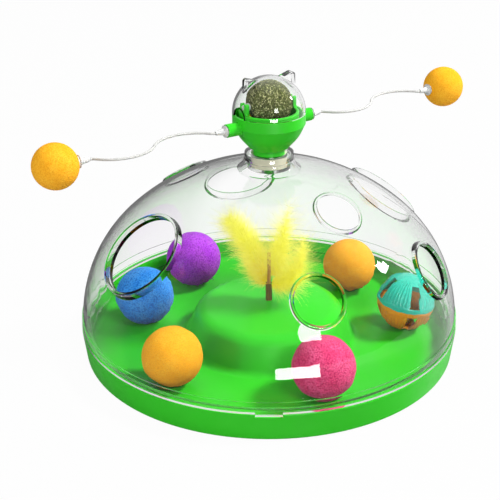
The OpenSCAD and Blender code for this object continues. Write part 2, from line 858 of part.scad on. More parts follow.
// Catnip ball and cover

module catnip_ball() {
    color([0.47, 0.47, 0.25]) along_arm(turret_az, axle_z) difference() {
        sphere(r = catnip_r);
        for (flip = [0, 180]) rotate([flip, 0, 0]) {
            translate([0, 0, ball_flat_u]) cylinder(r = catnip_r, h = catnip_r);
            translate([0, 0, ball_flat_u - pin_depth])
                cylinder(r = pin_r + fit_gap, h = catnip_r);
        }
    }
}

module axle_pin(az) {
    color(white) along_arm(az, axle_z) {
        translate([0, 0, ball_flat_u - pin_depth])
            cylinder(r = pin_r, h = pin_end_u - ball_flat_u + pin_depth);
        translate([0, 0, ball_flat_u])
            cylinder(r = pin_shoulder_r, h = shoulder_end_u - ball_flat_u);
    }
}

module axle_pin_left() { axle_pin(turret_az + 180); }
module axle_pin_right() { axle_pin(turret_az); }

// Side view of an ear: a triangle on the cover's arc, shrunk by a wall
module ear_outline(wall) {
    half = ear_half - wall * 180 / (PI * cup_r * cos(ear_half));
    tip_r = cup_r + ear_h - wall / sin(ear_tip_half);
    root_r = cover_in_r + (wall > 0 ? cover_t : 0);
    polygon(rounded([
        [root_r * cos(ear_slope - half), root_r * sin(ear_slope - half), 0],
        [tip_r * cos(ear_slope), tip_r * sin(ear_slope), max(ear_tip_round - wall, 0)],
        [root_r * cos(ear_slope + half), root_r * sin(ear_slope + half), 0]
    ]));
}

module ears(wall, from, to) {
    for (flip = [0, 1]) mirror([flip, 0, 0]) rotate([90, 0, 0]) translate([0, 0, from])
        linear_extrude(height = to - from) ear_outline(wall);
}

module ear_cover() {
    color(clear) rotate(turret_az) translate([0, 0, cover_z]) difference() {
        union() {
            sphere(r = cup_r);
            ears(0, -ear_t / 2, ear_t / 2);
            translate([0, 0, -cover_lip_h]) cylinder(r = cover_lip_r, h = cover_lip_h);
        }
        sphere(r = cover_in_r);
        ears(ear_wall, -ear_t / 2 + ear_front_wall, ear_t / 2 + over);
        translate([0, 0, -cup_r - cover_lip_h]) cylinder(r = 2 * cup_r, h = cup_r);
        tube(2 * cup_r, cover_lip_r, -cover_lip_h - over, 0);
        translate([0, 0, -cover_lip_h - over])
            cylinder(r = cover_lip_r - cover_lip_t, h = cover_lip_h + 2 * over);
        rotate([0, 90, 0]) cylinder(r = cover_arch_r, h = 4 * cup_r, center = true);
    }
}

// Loose balls

// Middle of a loose ball of radius r at a place [azimuth, distance outside the lane's middle]
function ball_at(place, r) = let (d = lane_r + place[1])
    [d * cos(place[0]), d * sin(place[0]), floor_z + ball_gap + r];

module plush_ball(place, tint) {
    color(tint) translate(ball_at(place, plush_r)) sphere(r = plush_r);
}

module foam_ball(place) {
    color(orange) translate(ball_at(place, foam_r)) sphere(r = foam_r);
}

module plush_ball_purple() { plush_ball(place_purple, [0.6, 0.25, 0.75]); }
module plush_ball_blue() { plush_ball(place_blue, [0.2, 0.5, 0.86]); }
module plush_ball_pink() { plush_ball(place_pink, [0.92, 0.27, 0.5]); }
module foam_ball_front() { foam_ball(place_foam_front); }
module foam_ball_rear() { foam_ball(place_foam_rear); }

module at_bell_ball() {
    translate(ball_at(place_bell, bell_ball_r)) rotate([0, bell_lean, 0]) children();
}

// Edge of a rib seen from its side: a crescent that rises out of the shell
module rib_outline() {
    reach = 2 * bell_ball_r;
    intersection() {
        difference() {
            circle(bell_ball_r);
            circle(bell_ball_r - rib_h - rib_root);
        }
        polygon([[0, 0], reach * [cos(rib_low), sin(rib_low)], reach * [cos(rib_high), sin(rib_high)]]);
    }
}

// Upper half of the bell ball: a half shell with a plain band and windows between ribbed bars
module bell_half() {
    reach = 2 * bell_ball_r;
    pitch = 360 / window_count;
    first_rib = window_turn + (pitch - (rib_count - 1) * rib_pitch) / 2;
    difference() {
        union() {
            sphere(r = bell_ball_r - rib_h);
            intersection() {
                sphere(r = bell_ball_r);
                cylinder(r = reach, h = bell_ball_r * sin(window_low));
            }
        }
        sphere(r = bell_ball_r - bell_ball_t);
        translate([0, 0, -reach]) cylinder(r = reach, h = reach);
        for (i = [0:window_count - 1]) rotate(window_turn + i * pitch)
            translate([0, 0, bell_ball_r * sin(window_low)])
                linear_extrude(height = bell_ball_r * (sin(window_high) - sin(window_low)))
                    polygon([[over, 0], reach * [1, -tan(window_half)], reach * [1, tan(window_half)]]);
    }
    for (i = [0:window_count - 1], j = [0:rib_count - 1]) rotate(first_rib + i * pitch + j * rib_pitch)
        rotate([90, 0, 0]) linear_extrude(height = rib_w, center = true) rib_outline();
}

module bell_ball_upper() {
    color([0.16, 0.75, 0.65]) at_bell_ball() bell_half();
}

module bell_ball_lower() {
    color([0.75, 0.47, 0.1]) at_bell_ball() mirror([0, 0, 1]) bell_half();
}

module at_bell() {
    translate(ball_at(place_bell, bell_ball_r) - [0, 0, bell_drop]) children();
}

module jingle_bell() {
    color([0.8, 0.82, 0.85]) at_bell() difference() {
        sphere(r = bell_r);
        sphere(r = bell_r - bell_t);
        translate([-bell_slot_l / 2, -bell_slot_w / 2, -2 * bell_r])
            cube([bell_slot_l, bell_slot_w, 2 * bell_r]);
    }
}

module bell_pellet() {
    color([0.6, 0.6, 0.62]) at_bell() translate([0, 0, -(bell_r - bell_t - seat_gap - pellet_r)])
        sphere(r = pellet_r);
}

base_tray();
anti_slip_pads();
feather_sleeve();
feather_stem();
plume_left();
plume_right();
plume_front();
plume_rear();
dome_shell();
neck_bush();
turret_cup();
ball_cradle();
thrust_washer();
spindle_cap();
spindle_screw();
arm_plug_left();
arm_plug_right();
arm_wire_left();
arm_wire_right();
ball_cap_left();
ball_cap_right();
spinner_ball_left();
spinner_ball_right();
catnip_ball();
axle_pin_left();
axle_pin_right();
ear_cover();
plush_ball_purple();
plush_ball_blue();
plush_ball_pink();
foam_ball_front();
foam_ball_rear();
bell_ball_upper();
bell_ball_lower();
jingle_bell();
bell_pellet();
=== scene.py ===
import json
import math
import random

import bpy
from mathutils import Matrix, Vector


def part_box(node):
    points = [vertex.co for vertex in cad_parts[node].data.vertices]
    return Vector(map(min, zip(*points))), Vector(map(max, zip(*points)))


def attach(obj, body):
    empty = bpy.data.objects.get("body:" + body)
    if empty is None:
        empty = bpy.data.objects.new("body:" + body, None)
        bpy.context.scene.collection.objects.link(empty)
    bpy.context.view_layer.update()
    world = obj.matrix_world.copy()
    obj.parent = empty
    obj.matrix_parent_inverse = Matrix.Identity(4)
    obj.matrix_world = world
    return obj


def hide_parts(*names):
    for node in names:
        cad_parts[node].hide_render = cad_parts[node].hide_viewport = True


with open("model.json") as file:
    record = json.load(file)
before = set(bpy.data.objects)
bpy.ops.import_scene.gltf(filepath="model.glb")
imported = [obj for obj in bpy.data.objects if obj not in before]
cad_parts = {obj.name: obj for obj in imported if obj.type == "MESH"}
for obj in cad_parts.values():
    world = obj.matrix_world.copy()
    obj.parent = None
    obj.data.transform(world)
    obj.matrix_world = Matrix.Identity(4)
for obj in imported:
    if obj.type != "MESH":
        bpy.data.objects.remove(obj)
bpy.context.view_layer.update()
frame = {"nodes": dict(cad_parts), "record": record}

cadNodes = frame["nodes"]
bodies = frame["record"]["behaviour"]["bodies"]
bodyOf = {node: body for body, members in bodies.items() for node in members}
mm = 0.001
print("frame loaded with", len(cadNodes), "nodes")


# Small modelling helpers

def deselectAll():
    bpy.ops.object.select_all(action="DESELECT")


def makeActive(piece):
    deselectAll()
    piece.select_set(True)
    bpy.context.view_layer.objects.active = piece


def addPiece(operator, name, **values):
    deselectAll()
    operator(**values)
    piece = bpy.context.active_object
    piece.name = name
    piece.data.name = name
    return piece


def newMesh(name, points, faces):
    mesh = bpy.data.meshes.new(name)
    mesh.from_pydata(points, [], faces)
    piece = bpy.data.objects.new(name, mesh)
    bpy.context.collection.objects.link(piece)
    makeActive(piece)
    return piece


def settle(piece):  # puts the place, turn and scale into the mesh
    makeActive(piece)
    bpy.ops.object.transform_apply(location=True, rotation=True, scale=True)


def editAll(piece):
    makeActive(piece)
    bpy.ops.object.mode_set(mode="EDIT")
    bpy.ops.mesh.select_all(action="SELECT")


def leaveEdit():
    bpy.ops.object.mode_set(mode="OBJECT")


def applyModifiers(piece):
    makeActive(piece)
    for modifier in list(piece.modifiers):
        bpy.ops.object.modifier_apply(modifier=modifier.name)


def smoothByAngle(piece, degrees):
    makeActive(piece)
    bpy.ops.object.shade_smooth_by_angle(angle=math.radians(degrees))


def standFor(piece, node, material):  # the piece shows in place of a CAD node, on the same body
    piece.data.materials.clear()
    piece.data.materials.append(material)
    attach(piece, bodyOf[node])
    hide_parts(node)


def ballOf(node):  # centre and radius of a round node
    low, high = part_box(node)
    return (low + high) / 2, (high.z - low.z) / 2


# Shader helpers and the node groups that several finishes share

def screen(red, green, blue):  # screen colour, 0 to 255, as the linear colour that sockets take
    def linear(level):
        level /= 255
        return level / 12.92 if level <= 0.04045 else ((level + 0.055) / 1.055) ** 2.4
    return linear(red), linear(green), linear(blue), 1.0


def greyTone(level):  # linear, 1 is white
    return level, level, level, 1.0


def addNode(tree, kind, **settings):
    node = tree.nodes.new(kind)
    for key, value in settings.items():
        setattr(node, key, value)
    return node


def setInputs(node, values):
    for socket, value in values.items():
        node.inputs[socket].default_value = value
    return node


def newGroup(name, inputs, outputs):
    tree = bpy.data.node_groups.new(name, "ShaderNodeTree")
    for socket, kind, value in inputs:
        made = tree.interface.new_socket(socket, in_out="INPUT", socket_type=kind)
        made.default_value = value
    for socket, kind in outputs:
        tree.interface.new_socket(socket, in_out="OUTPUT", socket_type=kind)
    return tree, tree.nodes.new("NodeGroupInput"), tree.nodes.new("NodeGroupOutput")


def noiseNode(tree, place, scaleSocket, factor, detail, roughness=0.5):
    size = addNode(tree, "ShaderNodeMath", operation="MULTIPLY")
    size.inputs[1].default_value = factor
    tree.links.new(scaleSocket, size.inputs[0])
    node = setInputs(addNode(tree, "ShaderNodeTexNoise"), {"Detail": detail, "Roughness": roughness})
    tree.links.new(place, node.inputs["Vector"])
    tree.links.new(size.outputs[0], node.inputs["Scale"])
    return node.outputs["Fac"]


def mapRange(tree, source, low, high, fromLow=0.3, fromHigh=0.7):
    node = addNode(tree, "ShaderNodeMapRange", interpolation_type="SMOOTHSTEP")
    setInputs(node, {"From Min": fromLow, "From Max": fromHigh, "To Min": low, "To Max": high})
    tree.links.new(source, node.inputs["Value"])
    return node.outputs["Result"]


def mixColour(tree, factor, first, second, blend="MIX"):
    node = addNode(tree, "ShaderNodeMix", data_type="RGBA", blend_type=blend)
    for place, value in {0: factor, 6: first, 7: second}.items():  # the node's factor and two colours
        if hasattr(value, "is_linked"):
            tree.links.new(value, node.inputs[place])
        else:
            node.inputs[place].default_value = value
    return node.outputs[2]  # the mixed colour


def buildMouldedGroup():  # moulded plastic: faint mottle, fine grain, rubbed patches in the gloss
    tree, given, put = newGroup(
        "mouldedSurface",
        [("Color", "NodeSocketColor", greyTone(0.5)), ("Deep Color", "NodeSocketColor", greyTone(0.3)),
         ("Scale", "NodeSocketFloat", 1.0), ("Gloss", "NodeSocketFloat", 0.3)],
        [("Color", "NodeSocketColor"), ("Roughness", "NodeSocketFloat"), ("Height", "NodeSocketFloat")])
    place = tree.nodes.new("ShaderNodeTexCoord").outputs["Object"]
    scale = given.outputs["Scale"]
    mottle = mapRange(tree, noiseNode(tree, place, scale, factor=22, detail=3), 0.0, 0.3)
    dyed = mixColour(tree, mottle, given.outputs["Color"], given.outputs["Deep Color"])
    tree.links.new(dyed, put.inputs["Color"])
    wear = noiseNode(tree, place, scale, factor=60, detail=5, roughness=0.65)
    rubbed = mapRange(tree, wear, -0.06, 0.1)
    sheen = addNode(tree, "ShaderNodeMath", operation="ADD", use_clamp=True)
    tree.links.new(given.outputs["Gloss"], sheen.inputs[0])
    tree.links.new(rubbed, sheen.inputs[1])
    tree.links.new(sheen.outputs[0], put.inputs["Roughness"])
    tree.links.new(noiseNode(tree, place, scale, factor=1400, detail=2), put.inputs["Height"])
    return tree


def buildGrainGroup():  # foam, pile and pressed leaf: cells whose gaps are darkened as painted shade, with paler patches and specks at random
    tree, given, put = newGroup(
        "grainSurface",
        [("Color", "NodeSocketColor", greyTone(0.5)), ("Gap Shade Color", "NodeSocketColor", greyTone(0.2)),
         ("Top Color", "NodeSocketColor", greyTone(0.8)), ("Cells", "NodeSocketFloat", 900.0)],
        [("Color", "NodeSocketColor"), ("Height", "NodeSocketFloat")])
    place = tree.nodes.new("ShaderNodeTexCoord").outputs["Object"]
    cells = given.outputs["Cells"]
    dots = addNode(tree, "ShaderNodeTexVoronoi", feature="F1")
    tree.links.new(place, dots.inputs["Vector"])
    tree.links.new(cells, dots.inputs["Scale"])
    # the gaps between the cells, darkened below with the gap colour as painted shade
    gap = mapRange(tree, dots.outputs["Distance"], 0.0, 1.0, fromLow=0.35, fromHigh=0.85)
    patch = mapRange(tree, noiseNode(tree, place, cells, factor=0.12, detail=3), 0.0, 0.8)
    specks = noiseNode(tree, place, cells, factor=1.7, detail=3, roughness=0.6)
    fine = mapRange(tree, specks, 0.0, 1.0, fromLow=0.35, fromHigh=0.7)
    tops = mixColour(tree, patch, given.outputs["Color"], given.outputs["Top Color"])
    speckled = mixColour(tree, fine, tops, given.outputs["Color"])
    tree.links.new(mixColour(tree, gap, speckled, given.outputs["Gap Shade Color"]), put.inputs["Color"])
    lift = addNode(tree, "ShaderNodeMath", operation="SUBTRACT")
    tree.links.new(fine, lift.inputs[0])
    tree.links.new(gap, lift.inputs[1])
    tree.links.new(lift.outputs[0], put.inputs["Height"])
    return tree


mouldedGroup = buildMouldedGroup()
grainGroup = buildGrainGroup()


def newMaterial(name, values):
    material = bpy.data.materials.new(name)
    material.use_nodes = True
    tree = material.node_tree
    return material, tree, setInputs(tree.nodes["Principled BSDF"], values)


def placeGroup(tree, group, values):
    return setInputs(addNode(tree, "ShaderNodeGroup", node_tree=group), values)


def addBump(tree, shader, height, strength, depth):
    bump = setInputs(addNode(tree, "ShaderNodeBump"), {"Strength": strength, "Distance": depth})
    tree.links.new(height, bump.inputs["Height"])
    tree.links.new(bump.outputs["Normal"], shader.inputs["Normal"])


def mouldedPlastic(name, colour, deep, gloss=0.3, grain=0.12, specular=0.5):
    material, tree, shader = newMaterial(name, {"Specular IOR Level": specular})
    surface = placeGroup(tree, mouldedGroup, {"Color": colour, "Deep Color": deep, "Gloss": gloss})
    tree.links.new(surface.outputs["Color"], shader.inputs["Base Color"])
    tree.links.new(surface.outputs["Roughness"], shader.inputs["Roughness"])
    addBump(tree, shader, surface.outputs["Height"], strength=grain, depth=0.05 * mm)
    return material


def grainedSurface(name, colour, gap, top, cells, depth, sheen=0.0):
    material, tree, shader = newMaterial(name, {"Roughness": 0.9, "Specular IOR Level": 0.2,
                                                "Sheen Weight": sheen, "Sheen Roughness": 0.4})
    # the gap colour is painted shade, laid into the gaps between the cells
    surface = placeGroup(tree, grainGroup, {"Color": colour, "Gap Shade Color": gap, "Top Color": top,
                                            "Cells": cells})
    tree.links.new(surface.outputs["Color"], shader.inputs["Base Color"])
    addBump(tree, shader, surface.outputs["Height"], strength=0.6, depth=depth)
    return material


def clearPlastic(name, tint, density):  # lamps pass straight through, the eye sees real refraction
    material, tree, shader = newMaterial(name, {"Base Color": greyTone(1.0), "Roughness": 0.0,
                                                "IOR": 1.46, "Transmission Weight": 1.0})
    output = tree.nodes["Material Output"]
    ways = tree.nodes.new("ShaderNodeLightPath")
    soft = addNode(tree, "ShaderNodeMath", operation="MAXIMUM")
    tree.links.new(ways.outputs["Is Shadow Ray"], soft.inputs[0])
    tree.links.new(ways.outputs["Is Diffuse Ray"], soft.inputs[1])
    through = tree.nodes.new("ShaderNodeBsdfTransparent")
    mix = tree.nodes.new("ShaderNodeMixShader")
    tree.links.new(soft.outputs[0], mix.inputs[0])
    tree.links.new(shader.outputs[0], mix.inputs[1])
    tree.links.new(through.outputs[0], mix.inputs[2])
    tree.links.new(mix.outputs[0], output.inputs["Surface"])
    inside = setInputs(tree.nodes.new("ShaderNodeVolumeAbsorption"), {"Color": tint, "Density": density})
    tree.links.new(inside.outputs[0], output.inputs["Volume"])
    return material


def metalFinish(name, colour, roughness):
    material, tree, shader = newMaterial(name, {"Metallic": 1.0})
    surface = placeGroup(tree, mouldedGroup, {"Color": colour, "Deep Color": colour, "Scale": 6.0,
                                              "Gloss": roughness})
    tree.links.new(surface.outputs["Color"], shader.inputs["Base Color"])
    tree.links.new(surface.outputs["Roughness"], shader.inputs["Roughness"])
    return material


def woodGrain(name, light, dark, stretch=(900, 900, 40)):  # streaks drawn out along the stick
    material, tree, shader = newMaterial(name, {"Roughness": 0.6})
    place = tree.nodes.new("ShaderNodeTexCoord").outputs["Object"]
    drawn = setInputs(tree.nodes.new("ShaderNodeMapping"), {"Scale": stretch})
    tree.links.new(place, drawn.inputs["Vector"])
    streaks = setInputs(addNode(tree, "ShaderNodeTexNoise"), {"Scale": 1.0, "Detail": 4.0})
    tree.links.new(drawn.outputs["Vector"], streaks.inputs["Vector"])
    tone = mapRange(tree, streaks.outputs["Fac"], 0.0, 1.0)
    tree.links.new(mixColour(tree, tone, light, dark), shader.inputs["Base Color"])
    addBump(tree, shader, streaks.outputs["Fac"], strength=0.4, depth=0.1 * mm)
    return material


def featherDown(name, gold, core, pale):  # the piece's map runs along each barb and up the quill
    # the barbs glow faintly in their core yellow: a painted glow standing in for light shining through
    # them
    material, tree, shader = newMaterial(name, {"Roughness": 0.75, "Specular IOR Level": 0.1,
                                                "Emission Color": core, "Emission Strength": 0.13})
    strand = addNode(tree, "ShaderNodeUVMap", uv_map="strand")
    parts = tree.nodes.new("ShaderNodeSeparateXYZ")
    tree.links.new(strand.outputs["UV"], parts.inputs[0])
    lower = mixColour(tree, mapRange(tree, parts.outputs["Y"], 0.0, 1.0, 0.1, 0.4), gold, core)
    upper = mixColour(tree, mapRange(tree, parts.outputs["Y"], 0.0, 0.7, 0.5, 1.0), lower, pale)
    along = mapRange(tree, parts.outputs["X"], 0.0, 0.85, 0.2, 1.0)
    tree.links.new(mixColour(tree, along, upper, pale), shader.inputs["Base Color"])
    return material


def leafFlakes(name, dark, olive, straw):  # each flake carries its own tone in the piece's map
    material, tree, shader = newMaterial(name, {"Roughness": 0.9, "Specular IOR Level": 0.2})
    given = addNode(tree, "ShaderNodeUVMap", uv_map="tone")
    parts = tree.nodes.new("ShaderNodeSeparateXYZ")
    tree.links.new(given.outputs["UV"], parts.inputs[0])
    lower = mixColour(tree, mapRange(tree, parts.outputs["X"], 0.0, 1.0, 0.0, 0.45), dark, olive)
    leaf = mixColour(tree, mapRange(tree, parts.outputs["X"], 0.0, 1.0, 0.6, 1.0), lower, straw)
    # the grain's darker gaps are multiplied onto the leaf as painted shade between the cells
    surface = placeGroup(tree, grainGroup, {"Color": greyTone(1.0), "Gap Shade Color": greyTone(0.7),
                                            "Top Color": greyTone(1.0), "Cells": 900})
    gapShaded = mixColour(tree, 1.0, leaf, surface.outputs["Color"], "MULTIPLY")
    tree.links.new(gapShaded, shader.inputs["Base Color"])
    addBump(tree, shader, surface.outputs["Height"], strength=0.4, depth=0.2 * mm)
    return material


greenPlastic = mouldedPlastic("greenPlastic", screen(52, 204, 38), screen(46, 190, 32),
                              gloss=0.34, specular=0.25)
darkGreenPlastic = mouldedPlastic("darkGreenPlastic", screen(30, 112, 34), screen(22, 90, 26), gloss=0.35)
creamPlastic = mouldedPlastic("creamPlastic", screen(216, 214, 190), screen(206, 203, 176),
                              gloss=0.7, specular=0.2)
whitePlastic = mouldedPlastic("whitePlastic", screen(216, 217, 216), screen(202, 203, 202), gloss=0.35)
wireCoat = mouldedPlastic("wireCoat", screen(206, 206, 203), screen(178, 178, 174), gloss=0.4)
tealPlastic = mouldedPlastic("tealPlastic", screen(28, 200, 172), screen(20, 182, 154), gloss=0.28)
amberPlastic = mouldedPlastic("amberPlastic", screen(240, 158, 18), screen(222, 136, 10), gloss=0.28)
padRubber = mouldedPlastic("padRubber", screen(52, 52, 52), screen(40, 40, 40), gloss=0.75, grain=0.5)
clearShell = clearPlastic("clearShell", tint=(0.5, 0.6, 0.52, 1), density=8.0)
bellSteel = metalFinish("bellSteel", (0.72, 0.72, 0.74, 1), roughness=0.22)
screwSteel = metalFinish("screwSteel", (0.62, 0.62, 0.64, 1), roughness=0.32)
sleeveBrown = woodGrain("sleeveBrown", screen(128, 100, 30), screen(92, 70, 18))
stemWood = woodGrain("stemWood", screen(214, 174, 76), screen(180, 136, 50))
featherYellow = featherDown("featherYellow", gold=screen(234, 215, 4), core=screen(248, 247, 4),
                            pale=screen(250, 249, 146))
# each grained finish's gap colour is a darker copy of it: painted shade in the gaps between the cells
orangeFoam = grainedSurface("orangeFoam", screen(255, 181, 38), gap=screen(243, 163, 28),
                            top=screen(255, 202, 62), cells=1500, depth=0.08 * mm)
pressedCatnip = leafFlakes("pressedCatnip", dark=screen(58, 62, 28), olive=screen(120, 130, 68),
                           straw=screen(224, 224, 160))
plushGrain = {"cells": 950, "depth": 0.22 * mm, "sheen": 0.15}
plushPurple = grainedSurface("plushPurple", screen(190, 62, 238), gap=screen(150, 40, 202),
                             top=screen(218, 108, 248), **plushGrain)
plushBlue = grainedSurface("plushBlue", screen(56, 158, 250), gap=screen(30, 116, 217),
                           top=screen(104, 196, 255), **plushGrain)
plushPink = grainedSurface("plushPink", screen(248, 74, 134), gap=screen(216, 44, 101),
                           top=screen(255, 124, 176), **plushGrain)
print("materials made:", len(bpy.data.materials))

nodeFinish = {
    "base_tray": greenPlastic,
    "anti_slip_pads": padRubber,
    "feather_sleeve": sleeveBrown,
    "feather_stem": stemWood,
    "dome_shell": clearShell,
    "neck_bush": creamPlastic,
    "turret_cup": greenPlastic,
    "ball_cradle": greenPlastic,
    "thrust_washer": whitePlastic,
    "spindle_cap": darkGreenPlastic,
    "spindle_screw": screwSteel,
    "arm_plug_left": whitePlastic,
    "arm_plug_right": whitePlastic,
    "ball_cap_left": whitePlastic,
    "ball_cap_right": whitePlastic,
    "axle_pin_left": whitePlastic,
    "axle_pin_right": whitePlastic,
    "ear_cover": clearShell,
    "jingle_bell": bellSteel,
    "bell_pellet": bellSteel,
}
for node, finish in nodeFinish.items():
    cadNodes[node].data.materials.clear()
    cadNodes[node].data.materials.append(finish)
cadNodes["base_tray"].visible_diffuse = False  # the tray throws no green light on the balls
print("finishes set on", len(nodeFinish), "CAD nodes")


# Plush balls: a tight ball with a short pile drawn out of every face

plushBall = {
    "finish": {
        "plush_ball_purple": plushPurple,
        "plush_ball_blue": plushBlue,
        "plush_ball_pink": plushPink,
    },
    "pile": 0.35 * mm,
    "ragged": 0.12 * mm,
    "subdivisions": 6,
}


def buildPlushBall(node, seed):
    centre, radius = ballOf(node)
    ball = addPiece(bpy.ops.mesh.primitive_ico_sphere_add, node + "_pile", location=centre,
                    subdivisions=plushBall["subdivisions"], radius=radius - plushBall["pile"])
    settle(ball)
    editAll(ball)
    bpy.ops.mesh.poke(offset=plushBall["pile"])
    bpy.ops.transform.vertex_random(offset=plushBall["ragged"], uniform=1.0, normal=0.3, seed=seed)
    leaveEdit()
    bpy.ops.object.shade_smooth()
    standFor(ball, node, plushBall["finish"][node])


for count, node in enumerate(plushBall["finish"]):
    buildPlushBall(node, seed=count + 1)
print("plush balls made")

# Foam balls, loose and on the arms: a fine broken skin

foamBall = {
    "loose": ("foam_ball_front", "foam_ball_rear"),
    "onArms": ("spinner_ball_left", "spinner_ball_right"),
    "roughness": 0.16 * mm,
    "grain": 0.7 * mm,
    "subdivisions": 6,
    "creaseAngle": 60,
}


def buildFoamBall(node):
    centre, radius = ballOf(node)
    ball = addPiece(bpy.ops.mesh.primitive_ico_sphere_add, node + "_skin", location=centre,
                    subdivisions=foamBall["subdivisions"], radius=radius - foamBall["roughness"] / 2)
    settle(ball)
    grain = bpy.data.textures.new(node + "_grain", "CLOUDS")
    grain.noise_scale = foamBall["grain"]
    rough = ball.modifiers.new("rough", "DISPLACE")
    rough.texture = grain
    rough.texture_coords = "LOCAL"
    rough.strength = foamBall["roughness"]
    applyModifiers(ball)
    return ball


def cutFlat(ball, point, outward):
    editAll(ball)
    bpy.ops.mesh.bisect(plane_co=point, plane_no=outward, clear_outer=True, use_fill=True)
    leaveEdit()


for node in foamBall["loose"]:
    ball = buildFoamBall(node)
    bpy.ops.object.shade_smooth()
    standFor(ball, node, orangeFoam)
for node in foamBall["onArms"]:
    ball = buildFoamBall(node)
    centre = ballOf(node)[0]
    inward = Vector((-centre.x, -centre.y, 0)).normalized()
    flat = max(corner.co.dot(inward) for corner in cadNodes[node].data.vertices)
    cutFlat(ball, inward * flat + Vector((0, 0, centre.z)), inward)
    smoothByAngle(ball, foamBall["creaseAngle"])
    standFor(ball, node, orangeFoam)
print("foam balls made")

# Catnip ball: pressed leaf with loose flakes lying on it

catnipBall = {
    "inset": 0.2 * mm,
    "subdivisions": 6,
    "lump": 0.3 * mm,
    "lumpSize": 1.6 * mm,
    "flakes": 7500,
    "flakeLength": (0.6 * mm, 1.15 * mm),
    "flakeWidth": (0.5 * mm, 0.9 * mm),
    "flakeTilt": 0.5,
    "flakeDepth": (0.05 * mm, 0.5 * mm),
    "flakeBend": 0.15 * mm,
    "strawShare": 0.25,
    "pressedTones": (0.05, 0.3),
    "leafTones": (0.0, 0.5),
    "strawTones": (0.75, 1.0),
    "creaseAngle": 50,
    "seed": 11,
}


def flakePoints(centre, radius, draw):  # one bent leaf flake, two quads long
    out = Vector((draw.gauss(0, 1), draw.gauss(0, 1), draw.gauss(0, 1))).normalized()
    along = Matrix.Rotation(draw.uniform(0, 2 * math.pi), 3, out) @ out.orthogonal().normalized()
    across = out.cross(along)
    tilt = catnipBall["flakeTilt"]
    along = Matrix.Rotation(draw.uniform(-tilt, tilt), 3, across) @ along
    length = draw.uniform(*catnipBall["flakeLength"])
    width = draw.uniform(*catnipBall["flakeWidth"])
    middle = centre + out * (radius - draw.uniform(*catnipBall["flakeDepth"]))
    points = []
    for step in (-1, 0, 1):
        spot = middle + along * (step * length / 2) + out * (catnipBall["flakeBend"] if step == 0 else 0)
        reach = across * (width / 2 if step == 0 else width / 4)
        points += [spot - reach, spot + reach]
    return points


def paintTone(piece, tones):  # one tone for each face, kept in the piece's own map
    layer = piece.data.uv_layers.new(name="tone")
    for face in piece.data.polygons:
        for loop in face.loop_indices:
            layer.data[loop].uv = (tones[face.index], 0.5)


def buildCatnipBall(node):
    centre, radius = ballOf(node)
    radius -= catnipBall["inset"]
    ball = addPiece(bpy.ops.mesh.primitive_ico_sphere_add, node + "_leaf", location=centre,
                    subdivisions=catnipBall["subdivisions"], radius=radius - catnipBall["lump"])
    settle(ball)
    lumps = bpy.data.textures.new("leafLumps", "CLOUDS")
    lumps.noise_scale = catnipBall["lumpSize"]
    press = ball.modifiers.new("press", "DISPLACE")
    press.texture = lumps
    press.texture_coords = "LOCAL"
    press.strength = catnipBall["lump"]
    applyModifiers(ball)
    draw = random.Random(catnipBall["seed"])
    paintTone(ball, [draw.uniform(*catnipBall["pressedTones"]) for _ in ball.data.polygons])
    points, faces, tones = [], [], []
    for _ in range(catnipBall["flakes"]):
        start = len(points)
        points += flakePoints(centre, radius, draw)
        faces += [(first, first + 1, first + 3, first + 2) for first in (start, start + 2)]
        kind = "strawTones" if draw.random() < catnipBall["strawShare"] else "leafTones"
        tones += [draw.uniform(*catnipBall[kind])] * 2
    flakes = newMesh("leafFlakes", points, faces)
    paintTone(flakes, tones)
    deselectAll()
    flakes.select_set(True)
    ball.select_set(True)
    bpy.context.view_layer.objects.active = ball
    bpy.ops.object.join()
    smoothByAngle(ball, catnipBall["creaseAngle"])
    standFor(ball, node, pressedCatnip)


buildCatnipBall("catnip_ball")
print("catnip ball made")

# Arm wires: one smooth round wire along the S bends

armWire = {
    "azimuth": {"arm_wire_right": 33, "arm_wire_left": 213},
    "radius": 0.85 * mm,
    "waveAngle": 50,
    "endRadius": 4 * mm,
    "hold": 6 * mm,
    "degreesPerPoint": 4,
    "roundness": 5,
    "creaseAngle": 50,
}


def wirePath(start, end):  # places along the arm's own X axis, from straights and bends
    turn = math.radians(armWire["waveAngle"])
    small, hold = armWire["endRadius"], armWire["hold"]
    free = end - start - 2 * hold
    ends = 2 * small * (math.sin(turn) + math.tan(turn / 2) * math.cos(turn))
    large = (free - ends) / (4 * math.sin(turn))
    steps = [(hold, 0), (small, -turn), (large, 2 * turn), (2 * small * math.tan(turn / 2), 0),
             (large, -2 * turn), (small, turn), (hold, 0)]
    x, y, heading = start, 0.0, 0.0
    path = [(x, y)]
    for size, bend in steps:
        parts = max(1, round(abs(math.degrees(bend)) / armWire["degreesPerPoint"]))
        for _ in range(parts):
            chord = size / parts if bend == 0 else 2 * size * math.sin(abs(bend) / parts / 2)
            heading += bend / parts / 2
            x += chord * math.cos(heading)
            y += chord * math.sin(heading)
            heading += bend / parts / 2
            path.append((x, y))
    return path


